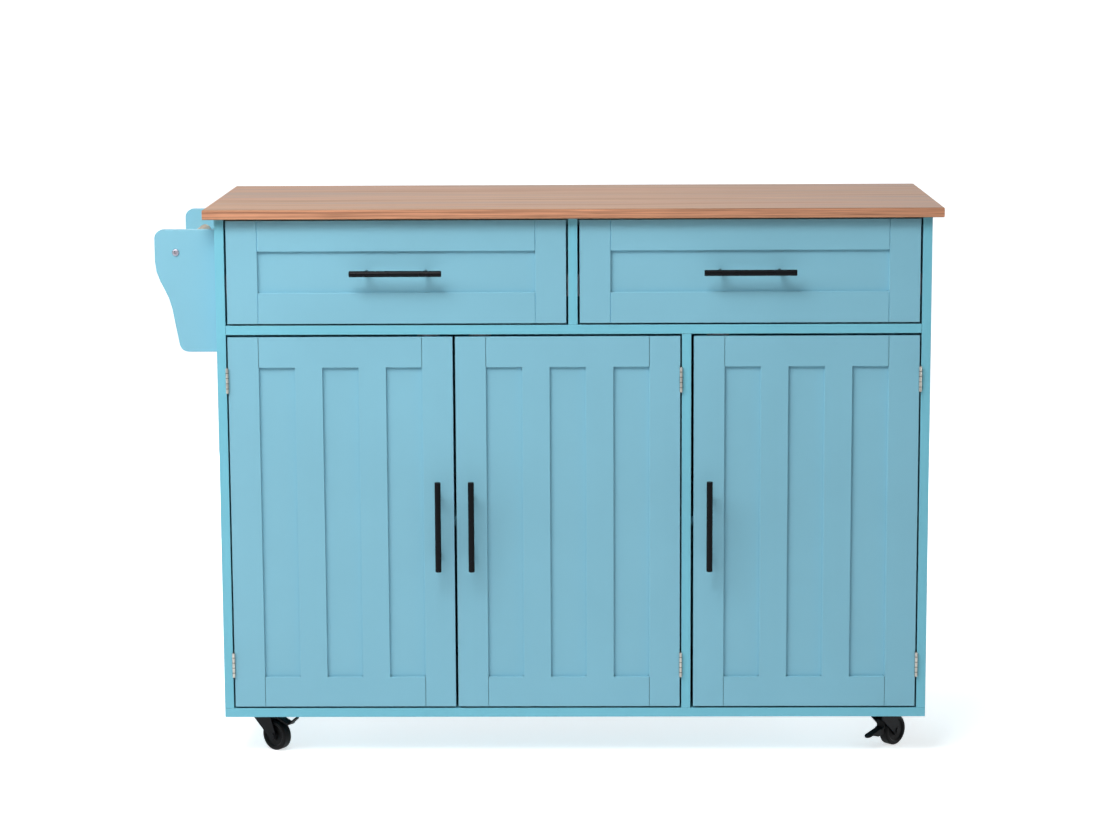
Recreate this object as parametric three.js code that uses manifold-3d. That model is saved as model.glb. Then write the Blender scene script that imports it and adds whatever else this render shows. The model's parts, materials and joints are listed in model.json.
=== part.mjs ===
// Kitchen island unit on casters: a worktop over two drawers and three inset doors, with a
// towel rack on the left side.
//
// Millimetres, +Z up. The unit is drawn with x = 0 on the carcass centre line, y = 0 on the plane
// of the carcass front edges (doors and drawers face -Y) and z = 0 on the carcass underside. The
// outermost group then moves it so that the origin lies on the floor, under the middle of the
// unit's bounding box.
import * as THREE from "three";
import { mergeVertices } from "three/addons/utils/BufferGeometryUtils.js";
import Module from "manifold-3d";

const wasm = await Module();
wasm.setup();

// ---------------------------------------------------------------- driving dimensions

// Clearances
const SEAM = 0.25; // hairline between pieces that are fixed face to face
const RUNNING = 0.3; // between pieces that turn or slide on one another

// Carcass
const CARCASS_WIDTH = 1160;
const CARCASS_DEPTH = 430;
const BOARD = 15; // thickness of the carcass boards
const DOOR_BAY_HEIGHT = 625; // clear height between the bottom panel and the deck
const DRAWER_BAY_HEIGHT = 174; // clear height between the deck and the worktop
const STRETCHER_WIDTH = 60; // the two flat rails under the worktop
const BACK_THICKNESS = 3;
const BACK_SETBACK = 12; // from the rear edges to the back panel's groove
const GROOVE_DEPTH = 5;
const GROOVE_PLAY = 0.5; // how much wider a groove is than the sheet it holds

// Worktop
const WORKTOP_THICKNESS = 16;
const WORKTOP_SIDE_OVERHANG = 17;
const WORKTOP_FRONT_OVERHANG = 18;
const WORKTOP_REAR_OVERHANG = 16;
const WORKTOP_ARRIS = 1; // the small flat taken off each sharp edge

// Door and drawer fronts: a frame of stiles and rails round a recessed panel
const FRONT_THICKNESS = 15;
const STILE = 50;
const RAIL = 50;
const RECESS_DEPTH = 5;
const BATTEN = 45; // upright strips that split a door's panel
const DOOR_BATTENS = 2;
const JOINT_LINE = 0.8; // width of the fine line where a rail meets a stile
const JOINT_LINE_DEPTH = 1.5;
const BAY_GAP = 3; // below each front and above each drawer front
const DOOR_HEAD_GAP = 4; // above each door
const HINGE_GAP = 2.75; // between a door and the board it hangs on
const MEETING_GAP = 4.25; // between the two doors that meet
const LOCK_GAP = 4.5; // between the third door and the divider
const DRAWER_SIDE_GAP = 3.5;

// Shelves
const SHELF_HEIGHT = 305; // from the bottom panel to the shelf's underside
const SHELF_FRONT_SETBACK = 20;
const SHELF_END_PLAY = 0.75;
const PIN_RADIUS = 2.5;
const PIN_REACH = 8;
const PIN_INSET = 60; // from the shelf's front and rear edges

// Magnetic catches under the deck
const CATCH_WIDTH = 36;
const CATCH_DEPTH = 14;
const CATCH_HEIGHT = 12;
const CATCH_INSET = 40; // from the door's free edge to the catch's middle
const CATCH_CLEARANCE = 1.25; // from the back of the door, room for its strike plate
const POLE_HEIGHT = 3; // of each of the two pole pieces
const POLE_STANDOUT = 1; // how far they stand out of the case
const POLE_INSET = 6; // from the case's ends

// Bar pulls
const PULL_LENGTH = 149;
const PULL_RADIUS = 5;
const PULL_POST_RADIUS = 3.25;
const PULL_HOLE_PITCH = 96;
const PULL_PROJECTION = 32; // from the front's face to the bar's axis
const PULL_ARRIS = 0.6;

// Butt hinges
const HINGE_LENGTH = 41;
const HINGE_INSET = 71; // from the door's top or bottom edge to the hinge's middle
const HINGE_KNUCKLES = 5;
const KNUCKLE_RADIUS = 2.5;
const HINGE_PIN_RADIUS = 1.2;
const HINGE_PIN_HEAD = 0.8;
const LEAF_THICKNESS = 0.9;
const LEAF_WIDTH = 12;

// Drawer boxes and runners
const DRAWER_BOARD = 12;
const DRAWER_BOX_HEIGHT = 110;
const DRAWER_BOX_LIFT = 17; // from the deck to the box's lower edges
const DRAWER_BOTTOM_THICKNESS = 4;
const DRAWER_BOTTOM_LIFT = 10; // from the box's lower edges to the sheet
const RUNNER_LENGTH = 350;
const RUNNER_HEIGHT = 35;
const RUNNER_WIDTH = 12.5; // the room between drawer box and carcass
const RUNNER_CHANNEL = 10.5; // depth of the fixed channel
const RUNNER_SHEET = 1.2;
const RUNNER_LIP = 4;
const RUNNER_LIFT = 28; // from the box's lower edges to the runner's lower edge
const RUNNER_FRONT_SETBACK = 3; // behind the drawer front
const RUNNER_REAR_SETBACK = 2.25; // from the runner's end to the box's back

// Towel rack
const BRACKET_THICKNESS = 15;
const BRACKET_HEIGHT = 200.5;
const BRACKET_DROP = 20; // from the carcass top to the bracket's top edge
const BRACKET_TOP_WIDTH = 101.5;
const BRACKET_WAIST_WIDTH = 75;
const BRACKET_FOOT_WIDTH = 62;
const BRACKET_CORNER = 14;
const BRACKET_SHOULDER = 52; // from the top edge down to where the ogee starts
const BRACKET_WAIST = 129; // from the top edge down to where the ogee ends
const OGEE_PULL = 30; // how far each end of the ogee keeps its direction
const BRACKET_FRONT_SETBACK = 30;
const BRACKET_REAR_SETBACK = 13;
const TOWEL_RAIL_RADIUS = 10;
const TOWEL_RAIL_REACH = 67; // from the side panel to the rail's axis
const TOWEL_RAIL_DROP = 37; // from the bracket's top edge to the rail's axis

// Casters
const WHEEL_RADIUS = 25.4;
const WHEEL_WIDTH = 18;
const WHEEL_HUB_RADIUS = 8;
const WHEEL_DISH_RADIUS = 17;
const WHEEL_DISH = 2.5; // how far the wheel's sides are hollowed
const WHEEL_SHOULDER = 2.5; // rounding of the tread's edges
const HUB_DRAFT = 1; // how much wider the hub is at its root
const BRAKE_ROOM = 5.2; // from the kingpin's head down to the top of the wheel
const CASTER_TRAIL = 22.5; // from the swivel axis to the axle
const CASTER_SIDE_INSET = 62;
const CASTER_END_INSET = 61;
const PLATE_SIZE = 42;
const PLATE_THICKNESS = 2.5;
const PLATE_CORNER = 5;
const PLATE_HOLE_RADIUS = 2.4;
const PLATE_HOLE_INSET = 6.5;
const RACE_RADIUS = 17;
const RACE_HEIGHT = 5.5;
const KINGPIN_RADIUS = 4;
const KINGPIN_HEAD = 1.2;
const FORK_LENGTH = 36;
const FORK_CORNER = 6;
const FORK_THICKNESS = 2.2;
const FORK_PLAY = 1; // each side, between tyre and cheek
const FORK_EYE_RADIUS = 7.5; // the cheek's rounding about the axle
const FORK_EYE_ARC = [230, 370]; // where that rounding runs, in degrees about the axle
const AXLE_RADIUS = 3;
const RIVET_RADIUS = 4.75;
const RIVET_HEIGHT = 1.4;
const BRAKE_PIVOT_ANGLE = 112; // round the axle, from the trailing side, in degrees
const BRAKE_PIN_RADIUS = 1.6;
const BRAKE_BOSS_RADIUS = 3.5;
const BRAKE_STRAP = 2.6;
const BRAKE_NECK_WIDTH = 16;
const BRAKE_PEDAL_WIDTH = 13;
const BRAKE_TAB_WIDTH = 10;
const BRAKE_SHOULDER = 0.15; // share of a tongue that keeps the neck's width
const BRAKE_SHOE_ARC = [132, 145]; // the stretch of tread that the shoe covers, as above
const BRAKE_SHOE_ROOT = [7, 12]; // where the shoe leaves the strap, ahead of the pivot

// The bends of the brake's strap, from the tip of its tab to its toe: how far each lies behind the
// pivot, and how far above it
const BRAKE_BENDS = [
  [58.5, 9.9],
  [41.5, -4.1],
  [18, 4],
  [0, 1],
  [-13, -1],
  [-18.5, -6.5],
];
// The same for the pedal that goes on from the toe, and for the lower corners of its flanges
const PEDAL_BENDS = [
  [-18.5, -18.1],
  [-57.2, -28.2],
];
const FLANGE_CORNERS = [
  [-32, -31],
  [-18.5, -29],
];
const FLANGE_THICKNESS = 2;
const FLANGE_REACH = 0.8; // share of the pedal's length that has flanges

// How far each caster has swivelled (its trail's direction about +Z, in degrees) and what its brake
// is worked with
const CASTERS = [
  { name: "front_left", side: -1, end: "front", heading: -36, brake: "tab" },
  { name: "front_right", side: 1, end: "front", heading: 45, brake: "pedal" },
  { name: "rear_left", side: -1, end: "rear", heading: 25 },
  { name: "rear_right", side: 1, end: "rear", heading: 155 },
];

// Facets
const ROUND_SIDES = 20;
const SMALL_SIDES = 12;
const KNUCKLE_SIDES = 10;
const WHEEL_SIDES = 28; // a multiple of four, so that the wheel stands on a flat
const ARC_STEPS = 5;

// ---------------------------------------------------------------- derived sizes and places

const HALF_WIDTH = CARCASS_WIDTH / 2;
const INNER_HALF = HALF_WIDTH - BOARD;
const DECK_Z = BOARD + DOOR_BAY_HEIGHT; // underside of the deck
const DRAWER_BAY_Z = DECK_Z + BOARD;
const CARCASS_HEIGHT = DRAWER_BAY_Z + DRAWER_BAY_HEIGHT;
const BACK_Y = CARCASS_DEPTH - BACK_SETBACK - BACK_THICKNESS;
const BOARD_REAR_Y = BACK_Y - GROOVE_PLAY; // where the inner boards end, in front of the back

const DOOR_WIDTH =
  (CARCASS_WIDTH - 3 * BOARD - 3 * HINGE_GAP - MEETING_GAP - LOCK_GAP) / 3;
const DOOR_HEIGHT = DOOR_BAY_HEIGHT - BAY_GAP - DOOR_HEAD_GAP;
const DOOR_Z = BOARD + BAY_GAP;
const DIVIDER_LEFT = -INNER_HALF + 2 * DOOR_WIDTH + 2 * HINGE_GAP + MEETING_GAP;
const DIVIDER_RIGHT = DIVIDER_LEFT + BOARD;

const DRAWER_BAY_WIDTH = INNER_HALF - BOARD / 2;
const DRAWER_FRONT_WIDTH = DRAWER_BAY_WIDTH - 2 * DRAWER_SIDE_GAP;
const DRAWER_FRONT_HEIGHT = DRAWER_BAY_HEIGHT - 2 * BAY_GAP;
const DRAWER_BOX_WIDTH = DRAWER_BAY_WIDTH - 2 * RUNNER_WIDTH;
const DRAWER_BOX_Z = DRAWER_BAY_Z + DRAWER_BOX_LIFT;
const DRAWER_BOX_Y = FRONT_THICKNESS + SEAM;
const DRAWER_BOTTOM_Z = DRAWER_BOX_Z + DRAWER_BOTTOM_LIFT;
const RUNNER_Z = DRAWER_BOX_Z + RUNNER_LIFT;
const RUNNER_Y = FRONT_THICKNESS + RUNNER_FRONT_SETBACK;
const RUNNER_END_Y = RUNNER_Y + RUNNER_LENGTH;
const DRAWER_BOX_DEPTH = RUNNER_END_Y + RUNNER_REAR_SETBACK - DRAWER_BOX_Y;

const BARREL_Y = -(KNUCKLE_RADIUS + RUNNING); // the hinge axis stands in front of the doors
const SHELF_Z = BOARD + SHELF_HEIGHT;
const BRACKET_TOP_Z = CARCASS_HEIGHT - BRACKET_DROP;

const RACE_FOOT_Z = -(PLATE_THICKNESS + RACE_HEIGHT);
const FORK_TOP_Z = RACE_FOOT_Z - RUNNING;
const FORK_UNDER_Z = FORK_TOP_Z - FORK_THICKNESS;
const KINGPIN_FOOT_Z = FORK_UNDER_Z - RUNNING - KINGPIN_HEAD;
const AXLE_Z = KINGPIN_FOOT_Z - BRAKE_ROOM - WHEEL_RADIUS;
const FLOOR_Z = AXLE_Z - WHEEL_RADIUS;
const TREAD_REACH = WHEEL_RADIUS / Math.cos(Math.PI / WHEEL_SIDES); // to the tread's corners
const CHEEK_INNER = WHEEL_WIDTH / 2 + FORK_PLAY;
const CHEEK_OUTER = CHEEK_INNER + FORK_THICKNESS;

// ---------------------------------------------------------------- materials

const material = (color, roughness, metalness = 0) =>
  new THREE.MeshStandardMaterial({ color, roughness, metalness });
const PAINT = material(0x86bfd2, 0.55);
const OAK = material(0xc4a48c, 0.5);
const BEECH = material(0xc9b79c, 0.6);
const BLACK_METAL = material(0x17171a, 0.4, 0.6);
const STEEL = material(0x9b9a96, 0.35, 0.9);
const ZINC = material(0xb4b6b8, 0.4, 0.8);
const BLACK_PLASTIC = material(0x1d1d1f, 0.55);
const WHITE_BOARD = material(0xe6e4de, 0.6);

// ---------------------------------------------------------------- geometry helpers

// A box from its low and high corners along each axis.
function box(x, y, z) {
  const geometry = new THREE.BoxGeometry(x[1] - x[0], y[1] - y[0], z[1] - z[0]);
  return geometry.translate(
    (x[0] + x[1]) / 2,
    (y[0] + y[1]) / 2,
    (z[0] + z[1]) / 2,
  );
}

// A shape extruded along an axis between two places. Along z the shape lies in (x, y), and along
// y in (x, z).
function extrude(shape, axis, from, to) {
  const geometry = new THREE.ExtrudeGeometry(shape, {
    depth: to - from,
    bevelEnabled: false,
    curveSegments: ARC_STEPS,
  });
  if (axis === "z") return geometry.translate(0, 0, from);
  return geometry.rotateX(Math.PI / 2).translate(0, to, 0);
}

// A round bar along an axis between two places, centred on the other two coordinates.
function bar(axis, from, to, radius, at = [0, 0], sides = SMALL_SIDES) {
  const length = to - from;
  const middle = (from + to) / 2;
  const geometry = new THREE.CylinderGeometry(radius, radius, length, sides);
  if (axis === "x") {
    geometry.rotateZ(Math.PI / 2);
    return geometry.translate(middle, at[0], at[1]);
  }
  if (axis === "y") return geometry.translate(at[0], middle, at[1]);
  geometry.rotateX(Math.PI / 2);
  return geometry.translate(at[0], at[1], middle);
}

// A rectangle centred on the origin with rounded corners.
function roundedRectangle(width, height, radius) {
  const x = width / 2;
  const y = height / 2;
  const shape = new THREE.Shape();
  shape.moveTo(-x + radius, -y);
  shape.lineTo(x - radius, -y);
  shape.absarc(x - radius, -y + radius, radius, -Math.PI / 2, 0);
  shape.lineTo(x, y - radius);
  shape.absarc(x - radius, y - radius, radius, 0, Math.PI / 2);
  shape.lineTo(-x + radius, y);
  shape.absarc(-x + radius, y - radius, radius, Math.PI / 2, Math.PI);
  shape.lineTo(-x, -y + radius);
  shape.absarc(-x + radius, -y + radius, radius, Math.PI, 1.5 * Math.PI);
  return shape;
}

// The outline of a bent strap of even thickness that follows a line of points.
function strapShape(line, thickness) {
  const half = thickness / 2;
  const normals = line.slice(1).map((point, i) => {
    const along = point.clone().sub(line[i]).normalize();
    return new THREE.Vector2(-along.y, along.x);
  });
  const offsets = line.map((_, i) => {
    const before = normals[Math.max(i - 1, 0)];
    const after = normals[Math.min(i, normals.length - 1)];
    const mean = before.clone().add(after).normalize();
    return mean.multiplyScalar(half / mean.dot(after));
  });
  const upper = line.map((point, i) => point.clone().add(offsets[i]));
  const lower = line.map((point, i) => point.clone().sub(offsets[i]));
  return new THREE.Shape([...lower, ...upper.reverse()]);
}

// Closed geometry to a solid that can be joined and cut, and back.
function solidOf(geometry) {
  const bare = geometry.clone();
  bare.deleteAttribute("normal");
  bare.deleteAttribute("uv");
  const merged = mergeVertices(bare, 1e-4);
  return new wasm.Manifold(
    new wasm.Mesh({
      numProp: 3,
      vertProperties: new Float32Array(merged.attributes.position.array),
      triVerts: new Uint32Array(merged.index.array),
    }),
  );
}

function geometryOf(solid) {
  const mesh = solid.getMesh();
  const geometry = new THREE.BufferGeometry();
  geometry.setAttribute(
    "position",
    new THREE.BufferAttribute(mesh.vertProperties, 3),
  );
  geometry.setIndex(new THREE.BufferAttribute(mesh.triVerts, 1));
  geometry.computeVertexNormals();
  return geometry;
}

const join = (geometries) =>
  geometryOf(geometries.map(solidOf).reduce((all, next) => all.add(next)));
const cut = (geometry, tools) =>
  geometryOf(
    tools.map(solidOf).reduce((all, next) => all.subtract(next), solidOf(geometry)),
  );

// ---------------------------------------------------------------- the scene graph

const unit = new THREE.Group();

function place(name, geometry, surface, parent = unit) {
  const mesh = new THREE.Mesh(geometry, surface.clone());
  mesh.name = name;
  parent.add(mesh);
  return mesh;
}

function group(x, y, z, parent = unit) {
  const made = new THREE.Group();
  made.position.set(x, y, z);
  parent.add(made);
  return made;
}

// ---------------------------------------------------------------- carcass

// The four shelf pins that stand out of one face of an upright board; side is +1 where they
// point to +x.
function shelfPins(faceX, side) {
  const from = Math.min(faceX, faceX + side * PIN_REACH) - (side > 0 ? SEAM : 0);
  const to = Math.max(faceX, faceX + side * PIN_REACH) + (side < 0 ? SEAM : 0);
  const z = SHELF_Z - SEAM - PIN_RADIUS;
  const ys = [SHELF_FRONT_SETBACK + PIN_INSET, BOARD_REAR_Y - PIN_INSET];
  return ys.map((y) => bar("x", from, to, PIN_RADIUS, [y, z]));
}

// A side panel stands on the bottom panel; its inner face has the groove for the back panel.
function sidePanel(side) {
  const inner = side * INNER_HALF;
  const outer = side * HALF_WIDTH;
  const x = [Math.min(inner, outer), Math.max(inner, outer)];
  const board = box(x, [0, CARCASS_DEPTH], [BOARD + SEAM, CARCASS_HEIGHT]);
  const groove = box(
    [Math.min(inner, inner + side * GROOVE_DEPTH), Math.max(inner, inner + side * GROOVE_DEPTH)],
    [BACK_Y - GROOVE_PLAY / 2, BACK_Y + BACK_THICKNESS + GROOVE_PLAY / 2],
    [0, CARCASS_HEIGHT + BOARD],
  );
  return join([cut(board, [groove]), ...shelfPins(inner, -side)]);
}

function bottomPanel() {
  const board = box([-HALF_WIDTH, HALF_WIDTH], [0, CARCASS_DEPTH], [0, BOARD]);
  const groove = box(
    [-INNER_HALF - GROOVE_DEPTH, INNER_HALF + GROOVE_DEPTH],
    [BACK_Y - GROOVE_PLAY / 2, BACK_Y + BACK_THICKNESS + GROOVE_PLAY / 2],
    [BOARD - GROOVE_DEPTH, 2 * BOARD],
  );
  return cut(board, [groove]);
}

// A magnetic catch: a case under the deck with two pole pieces at its front.
function magneticCatch(x) {
  const y = FRONT_THICKNESS + CATCH_CLEARANCE;
  const half = CATCH_WIDTH / 2;
  const body = box(
    [x - half, x + half],
    [y + POLE_STANDOUT, y + CATCH_DEPTH],
    [DECK_Z - CATCH_HEIGHT, DECK_Z + SEAM],
  );
  const poleX = [x - half + POLE_INSET, x + half - POLE_INSET];
  const poles = [0.25, 0.75].map((share) => {
    const low = DECK_Z - share * CATCH_HEIGHT - POLE_HEIGHT / 2;
    return box(poleX, [y, y + CATCH_DEPTH / 2], [low, low + POLE_HEIGHT]);
  });
  return join([body, ...poles]);
}

function deckPanel() {
  const board = box(
    [-INNER_HALF + SEAM, INNER_HALF - SEAM],
    [0, BOARD_REAR_Y],
    [DECK_Z, DRAWER_BAY_Z],
  );
  const catches = [
    doorLeft(0) + DOOR_WIDTH - CATCH_INSET,
    doorLeft(1) + CATCH_INSET,
    doorLeft(2) + CATCH_INSET,
  ];
  return join([board, ...catches.map(magneticCatch)]);
}

function doorDivider() {
  const board = box(
    [DIVIDER_LEFT, DIVIDER_RIGHT],
    [0, BOARD_REAR_Y],
    [BOARD + SEAM, DECK_Z - SEAM],
  );
  return join([
    board,
    ...shelfPins(DIVIDER_LEFT, -1),
    ...shelfPins(DIVIDER_RIGHT, 1),
  ]);
}

// Where the flat stretchers lie under the worktop, from front to rear.
const stretcherFront = [FRONT_THICKNESS + SEAM, FRONT_THICKNESS + SEAM + STRETCHER_WIDTH];
const stretcherRear = [BOARD_REAR_Y - STRETCHER_WIDTH, BOARD_REAR_Y];

// The board between the drawers is notched for both stretchers.
function drawerDivider() {
  const x = [-BOARD / 2, BOARD / 2];
  const board = box(x, [0, BOARD_REAR_Y], [DRAWER_BAY_Z + SEAM, CARCASS_HEIGHT]);
  const notches = [stretcherFront, stretcherRear].map(([from, to]) =>
    box(
      [-BOARD, BOARD],
      [from - SEAM, to + SEAM],
      [CARCASS_HEIGHT - BOARD - SEAM, CARCASS_HEIGHT + BOARD],
    ),
  );
  return cut(board, notches);
}

function stretcher(y) {
  return box([-INNER_HALF + SEAM, INNER_HALF - SEAM], y, [
    CARCASS_HEIGHT - BOARD,
    CARCASS_HEIGHT,
  ]);
}

function backPanel() {
  const tuck = GROOVE_DEPTH - GROOVE_PLAY;
  return box(
    [-INNER_HALF - tuck, INNER_HALF + tuck],
    [BACK_Y, BACK_Y + BACK_THICKNESS],
    [BOARD - tuck, CARCASS_HEIGHT],
  );
}

function shelf(from, to) {
  return box(
    [from + SHELF_END_PLAY, to - SHELF_END_PLAY],
    [SHELF_FRONT_SETBACK, BOARD_REAR_Y - SEAM],
    [SHELF_Z, SHELF_Z + BOARD],
  );
}

// The worktop: a slab whose sharp edges are all eased.
function worktop() {
  const x = HALF_WIDTH + WORKTOP_SIDE_OVERHANG;
  const front = -WORKTOP_FRONT_OVERHANG;
  const rear = CARCASS_DEPTH + WORKTOP_REAR_OVERHANG;
  const outline = new THREE.Shape([
    new THREE.Vector2(-x, front),
    new THREE.Vector2(x, front),
    new THREE.Vector2(x, rear),
    new THREE.Vector2(-x, rear),
  ]);
  const slab = new THREE.ExtrudeGeometry(outline, {
    depth: WORKTOP_THICKNESS - 2 * WORKTOP_ARRIS,
    bevelThickness: WORKTOP_ARRIS,
    bevelSize: WORKTOP_ARRIS,
    bevelOffset: -WORKTOP_ARRIS,
    bevelSegments: 1,
  });
  return slab.translate(0, 0, CARCASS_HEIGHT + SEAM + WORKTOP_ARRIS);
}

function buildCarcass() {
  place("bottom_panel", bottomPanel(), PAINT);
  place("side_panel_left", sidePanel(-1), PAINT);
  place("side_panel_right", sidePanel(1), PAINT);
  place("deck_panel", deckPanel(), PAINT);
  place("door_divider", doorDivider(), PAINT);
  place("drawer_divider", drawerDivider(), PAINT);
  place("front_stretcher", stretcher(stretcherFront), PAINT);
  place("rear_stretcher", stretcher(stretcherRear), PAINT);
  place("back_panel", backPanel(), PAINT);
  place("shelf_left", shelf(-INNER_HALF, DIVIDER_LEFT), PAINT);
  place("shelf_right", shelf(DIVIDER_RIGHT, INNER_HALF), PAINT);
  place("worktop", worktop(), OAK);
}

// ---------------------------------------------------------------- door and drawer fronts

// A framed front with its low front left corner at the origin. The panel is sunk between the
// stiles and rails, and battens split it into equal fields.
function framedFront(width, height, battens) {
  const slab = box([0, width], [0, FRONT_THICKNESS], [0, height]);
  const fields = battens + 1;
  const field = (width - 2 * STILE - battens * BATTEN) / fields;
  const cuts = [];
  for (let i = 0; i < fields; i++) {
    const x = STILE + i * (field + BATTEN);
    cuts.push(
      box([x, x + field], [-BOARD, RECESS_DEPTH], [RAIL, height - RAIL]),
    );
  }
  const stileEdges = [STILE, width - STILE];
  const railBands = [
    [-RAIL, RAIL],
    [height - RAIL, height + RAIL],
  ];
  for (const x of stileEdges)
    for (const z of railBands)
      cuts.push(
        box([x - JOINT_LINE / 2, x + JOINT_LINE / 2], [-BOARD, JOINT_LINE_DEPTH], z),
      );
  return cut(slab, cuts);
}

// A bar pull centred on the origin, with the face it is screwed to at y = 0. Its bar lies along
// x or z.
function barPull(axis) {
  const half = PULL_LENGTH / 2;
  const across = (offset) =>
    axis === "x" ? [offset, -PULL_PROJECTION] : [0, -PULL_PROJECTION];
  const profile = [
    new THREE.Vector2(0, -half),
    new THREE.Vector2(PULL_RADIUS - PULL_ARRIS, -half),
    new THREE.Vector2(PULL_RADIUS, -half + PULL_ARRIS),
    new THREE.Vector2(PULL_RADIUS, half - PULL_ARRIS),
    new THREE.Vector2(PULL_RADIUS - PULL_ARRIS, half),
    new THREE.Vector2(0, half),
  ];
  const rod = new THREE.LatheGeometry(profile, ROUND_SIDES);
  if (axis === "x") rod.rotateZ(Math.PI / 2);
  else rod.rotateX(Math.PI / 2);
  rod.translate(0, across(0)[1], 0);
  const posts = [-1, 1].map((end) => {
    const at = (end * PULL_HOLE_PITCH) / 2;
    const centre = axis === "x" ? [at, 0] : [0, at];
    return bar("y", -PULL_PROJECTION, -SEAM, PULL_POST_RADIUS, centre);
  });
  return join([rod, ...posts]);
}

// The left edge of each door, counted from the left.
function doorLeft(index) {
  if (index === 0) return -INNER_HALF + HINGE_GAP;
  if (index === 1) return -INNER_HALF + HINGE_GAP + DOOR_WIDTH + MEETING_GAP;
  return DIVIDER_RIGHT + LOCK_GAP;
}

const DOORS = [
  { name: "left", hingeSide: -1, index: 0 },
  { name: "middle", hingeSide: 1, index: 1 },
  { name: "right", hingeSide: 1, index: 2 },
];

function buildDoor({ name, hingeSide, index }) {
  const left = doorLeft(index);
  const door = group(left, 0, DOOR_Z);
  place(`door_${name}`, framedFront(DOOR_WIDTH, DOOR_HEIGHT, DOOR_BATTENS), PAINT, door);
  const pullX = hingeSide < 0 ? DOOR_WIDTH - STILE / 2 : STILE / 2;
  const pull = group(pullX, 0, DOOR_HEIGHT / 2, door);
  place(`door_pull_${name}`, barPull("z"), BLACK_METAL, pull);
  const hingeX = hingeSide < 0 ? -HINGE_GAP / 2 : DOOR_WIDTH + HINGE_GAP / 2;
  const levels = { top: DOOR_HEIGHT - HINGE_INSET, bottom: HINGE_INSET };
  for (const [level, z] of Object.entries(levels)) {
    const hinge = group(hingeX, BARREL_Y, z, door);
    place(`hinge_${name}_${level}_frame_leaf`, hingeLeaf(hingeSide, true), ZINC, hinge);
    place(`hinge_${name}_${level}_door_leaf`, hingeLeaf(hingeSide, false), ZINC, hinge);
  }
}

// ---------------------------------------------------------------- butt hinges

// One leaf of a butt hinge, with the hinge axis on the origin. The frame leaf lies on the board
// at the boardSide and carries the pin and the odd knuckles; the door leaf carries the even ones,
// bored for the pin.
function hingeLeaf(boardSide, onFrame) {
  const side = onFrame ? boardSide : -boardSide;
  const far = side * (HINGE_GAP / 2 - SEAM);
  const near = far - side * LEAF_THICKNESS;
  const x = [Math.min(near, far), Math.max(near, far)];
  const half = HINGE_LENGTH / 2;
  const pitch = HINGE_LENGTH / HINGE_KNUCKLES;
  const bore = HINGE_PIN_RADIUS + RUNNING;
  const leafY = KNUCKLE_RADIUS + RUNNING;
  const pieces = [box(x, [leafY, leafY + LEAF_WIDTH], [-half, half])];
  for (let i = onFrame ? 0 : 1; i < HINGE_KNUCKLES; i += 2) {
    const from = -half + i * pitch + RUNNING / 2;
    const to = from + pitch - RUNNING;
    const knuckle = bar("z", from, to, KNUCKLE_RADIUS, [0, 0], KNUCKLE_SIDES);
    const hole = bar("z", from - pitch, to + pitch, bore, [0, 0], KNUCKLE_SIDES);
    const tongue = box(x, [bore, leafY + LEAF_THICKNESS], [from, to]);
    pieces.push(onFrame ? knuckle : cut(knuckle, [hole]), tongue);
  }
  if (onFrame) {
    pieces.push(
      bar(
        "z",
        -half - HINGE_PIN_HEAD,
        half + HINGE_PIN_HEAD,
        HINGE_PIN_RADIUS,
        [0, 0],
        KNUCKLE_SIDES,
      ),
    );
  }
  return join(pieces);
}

// ---------------------------------------------------------------- drawers and runners

// The box behind a drawer front: two sides and a back, grooved for the bottom sheet, with the
// moving member of a runner screwed along each side.
function drawerBox() {
  const half = DRAWER_BOX_WIDTH / 2;
  const y = [DRAWER_BOX_Y, DRAWER_BOX_Y + DRAWER_BOX_DEPTH];
  const z = [DRAWER_BOX_Z, DRAWER_BOX_Z + DRAWER_BOX_HEIGHT];
  const sides = [
    box([-half, -half + DRAWER_BOARD], y, z),
    box([half - DRAWER_BOARD, half], y, z),
    box([-half, half], [y[1] - DRAWER_BOARD, y[1]], z),
  ];
  const groove = box(
    [-half + DRAWER_BOARD - GROOVE_DEPTH, half - DRAWER_BOARD + GROOVE_DEPTH],
    [0, y[1] - DRAWER_BOARD + GROOVE_DEPTH],
    [DRAWER_BOTTOM_Z - SEAM, DRAWER_BOTTOM_Z + DRAWER_BOTTOM_THICKNESS + SEAM],
  );
  const members = [-1, 1].map((side) => runnerMember(side, half));
  return join([cut(join(sides), [groove]), ...members]);
}

// The moving member: a channel whose flanges reach into the fixed channel between its lips.
function runnerMember(side, faceX) {
  const high = RUNNER_HEIGHT / 2 - RUNNER_SHEET - RUNNER_LIP - RUNNING;
  const tip = RUNNER_WIDTH - RUNNER_CHANNEL + 2 * RUNNER_SHEET + RUNNER_LIP;
  const outline = new THREE.Shape([
    new THREE.Vector2(-SEAM, -high),
    new THREE.Vector2(tip, -high),
    new THREE.Vector2(tip, -high + RUNNER_SHEET),
    new THREE.Vector2(RUNNER_SHEET, -high + RUNNER_SHEET),
    new THREE.Vector2(RUNNER_SHEET, high - RUNNER_SHEET),
    new THREE.Vector2(tip, high - RUNNER_SHEET),
    new THREE.Vector2(tip, high),
    new THREE.Vector2(-SEAM, high),
  ]);
  const member = extrude(outline, "y", RUNNER_Y, RUNNER_END_Y);
  if (side < 0) member.rotateZ(Math.PI).translate(0, RUNNER_Y + RUNNER_END_Y, 0);
  return member.translate(side * faceX, 0, RUNNER_Z + RUNNER_HEIGHT / 2);
}

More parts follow.
